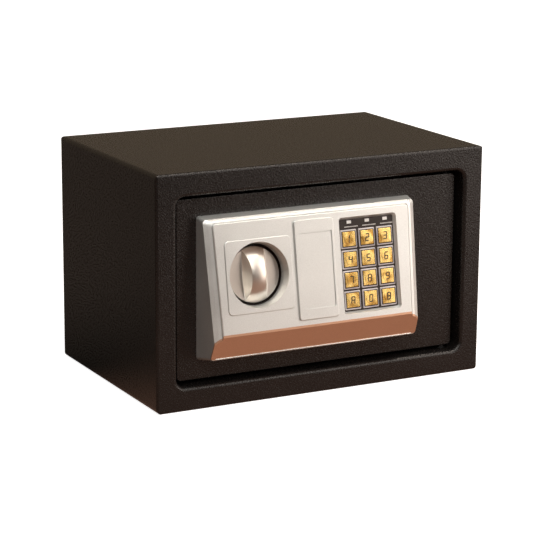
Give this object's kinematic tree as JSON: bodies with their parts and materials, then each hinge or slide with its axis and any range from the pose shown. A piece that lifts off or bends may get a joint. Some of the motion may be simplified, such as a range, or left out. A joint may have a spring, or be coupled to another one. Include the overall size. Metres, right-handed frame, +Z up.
{
  "type": "electronic home safe",
  "caption": "Compact steel safe with a recessed hinged door, leaning keypad bezel, round knob, covered override lock and two side-throwing locking bolts.",
  "frame": {"origin": "centre of the body's underside, on the surface that the safe stands on", "axes": "+X to the right seen from the front, along the width; +Y from the door to the rear; +Z up"},
  "size_m": [0.31, 0.2197, 0.2],
  "materials": {
    "steel_shell": "fine textured black powder coat",
    "steel_rear": "fine textured black powder coat",
    "steel_door": "fine textured black powder coat",
    "steel_inner": "satin black paint",
    "zinc_steel": "zinc plated",
    "bolt_steel": "polished",
    "brass_fit": "turned",
    "carpet": "needle felt",
    "silver_plastic": "champagne silver metallic paint",
    "copper_strip": "copper-brown metallic foil",
    "knob_metal": "satin plated",
    "key_gold": "gold plated caps",
    "key_grey": "grey lilac",
    "pad_black": "dark brown black",
    "lens_white": "milky lens",
    "silicone": "moulded silicone",
    "circuit_green": "solder mask",
    "coil_copper": "enamelled copper winding",
    "black_plastic": "moulded",
    "red_plastic": "moulded",
    "cell_wrap": "shrink wrap",
    "wire_skin": "flexible insulation"
  },
  "bodies": {
    "body": {"body_shell": "steel_shell", "rear_panel": "steel_rear", "hinge_bushes": "black_plastic", "floor_mat": "carpet"},
    "door": {"door_plate": "steel_door", "hinge_brackets": "steel_inner", "hinge_pins": "steel_inner", "bolt_guide": "zinc_steel", "mechanism_cover": "steel_inner", "cover_posts": "zinc_steel", "cover_screws": "zinc_steel", "bezel_housing": "silver_plastic", "bezel_trim_strip": "copper_strip", "knob_seat": "pad_black", "bezel_screws": "zinc_steel", "spindle_bush": "brass_fit", "lock_cylinder": "bolt_steel", "lock_nut": "brass_fit", "keypad_plate": "pad_black", "key_frames": "key_grey", "led_lenses": "lens_white", "dome_mat": "silicone", "keypad_board": "circuit_green", "carriage_posts": "zinc_steel", "solenoid_frame": "zinc_steel", "solenoid_coil": "coil_copper", "control_board": "circuit_green", "board_posts": "black_plastic", "reset_switch": "black_plastic", "battery_box": "black_plastic", "batteries": "cell_wrap", "battery_contacts": "zinc_steel", "wire_harness": "wire_skin"},
    "knob_drive": {"knob": "knob_metal", "knob_shaft": "zinc_steel", "crank": "zinc_steel"},
    "bolt_work": {"bolt_carriage": "zinc_steel", "locking_bolts": "bolt_steel"},
    "plunger": {"solenoid_plunger": "zinc_steel"},
    "lock_cover": {"key_cover": "silver_plastic"},
    "override_plug": {"key_plug": "brass_fit", "key_cam": "zinc_steel"},
    "reset": {"reset_button": "red_plastic"},
    "battery_lid": {"battery_cover": "black_plastic"},
    "button_1": {"key_1": "key_gold"},
    "button_2": {"key_2": "key_gold"},
    "button_3": {"key_3": "key_gold"},
    "button_4": {"key_4": "key_gold"},
    "button_5": {"key_5": "key_gold"},
    "button_6": {"key_6": "key_gold"},
    "button_7": {"key_7": "key_gold"},
    "button_8": {"key_8": "key_gold"},
    "button_9": {"key_9": "key_gold"},
    "button_a": {"key_a": "key_gold"},
    "button_0": {"key_0": "key_gold"},
    "button_b": {"key_b": "key_gold"}
  },
  "joints": [
    {"name": "door_hinge", "type": "hinge", "parent": "body", "child": "door", "pos_m": [0.126, -0.084, 0.1], "axis": [0, 0, 1], "range_deg": [0, 98]},
    {"name": "knob_turn", "type": "hinge", "parent": "door", "child": "knob_drive", "pos_m": [-0.0674, -0.10802, 0.11113], "axis": [0, -0.9863, 0.1652], "range_deg": [0, 90]},
    {"name": "bolt_slide", "type": "slide", "parent": "door", "child": "bolt_work", "axis": [-1, 0, 0], "range_m": [0, 0.01838]},
    {"name": "plunger_slide", "type": "slide", "parent": "door", "child": "plunger", "axis": [0, 0, 1], "range_m": [0, 0.005], "stiffness_N_per_m": 20},
    {"name": "cover_lift", "type": "slide", "parent": "door", "child": "lock_cover", "axis": [0, -0.9863, 0.1652], "range_m": [0, 0.015]},
    {"name": "override_turn", "type": "hinge", "parent": "door", "child": "override_plug", "pos_m": [-0.0145, -0.1, 0.111], "axis": [0, -1, 0], "range_deg": [0, 90]},
    {"name": "reset_press", "type": "slide", "parent": "door", "child": "reset", "axis": [0, -1, 0], "range_m": [0, 0.0015], "stiffness_N_per_m": 150},
    {"name": "battery_lid_lift", "type": "slide", "parent": "door", "child": "battery_lid", "axis": [0, 1, 0], "range_m": [0, 0.012]},
    {"name": "press_1", "type": "slide", "parent": "door", "child": "button_1", "axis": [0, 0.9863, -0.1652], "range_m": [0, 0.0008], "stiffness_N_per_m": 200},
    {"name": "press_2", "type": "slide", "parent": "door", "child": "button_2", "axis": [0, 0.9863, -0.1652], "range_m": [0, 0.0008], "stiffness_N_per_m": 200},
    {"name": "press_3", "type": "slide", "parent": "door", "child": "button_3", "axis": [0, 0.9863, -0.1652], "range_m": [0, 0.0008], "stiffness_N_per_m": 200},
    {"name": "press_4", "type": "slide", "parent": "door", "child": "button_4", "axis": [0, 0.9863, -0.1652], "range_m": [0, 0.0008], "stiffness_N_per_m": 200},
    {"name": "press_5", "type": "slide", "parent": "door", "child": "button_5", "axis": [0, 0.9863, -0.1652], "range_m": [0, 0.0008], "stiffness_N_per_m": 200},
    {"name": "press_6", "type": "slide", "parent": "door", "child": "button_6", "axis": [0, 0.9863, -0.1652], "range_m": [0, 0.0008], "stiffness_N_per_m": 200},
    {"name": "press_7", "type": "slide", "parent": "door", "child": "button_7", "axis": [0, 0.9863, -0.1652], "range_m": [0, 0.0008], "stiffness_N_per_m": 200},
    {"name": "press_8", "type": "slide", "parent": "door", "child": "button_8", "axis": [0, 0.9863, -0.1652], "range_m": [0, 0.0008], "stiffness_N_per_m": 200},
    {"name": "press_9", "type": "slide", "parent": "door", "child": "button_9", "axis": [0, 0.9863, -0.1652], "range_m": [0, 0.0008], "stiffness_N_per_m": 200},
    {"name": "press_a", "type": "slide", "parent": "door", "child": "button_a", "axis": [0, 0.9863, -0.1652], "range_m": [0, 0.0008], "stiffness_N_per_m": 200},
    {"name": "press_0", "type": "slide", "parent": "door", "child": "button_0", "axis": [0, 0.9863, -0.1652], "range_m": [0, 0.0008], "stiffness_N_per_m": 200},
    {"name": "press_b", "type": "slide", "parent": "door", "child": "button_b", "axis": [0, 0.9863, -0.1652], "range_m": [0, 0.0008], "stiffness_N_per_m": 200}
  ],
  "couplings": [
    {"joint": "bolt_slide", "follows": "knob_turn", "m_per_rad": 0.011704}
  ]
}
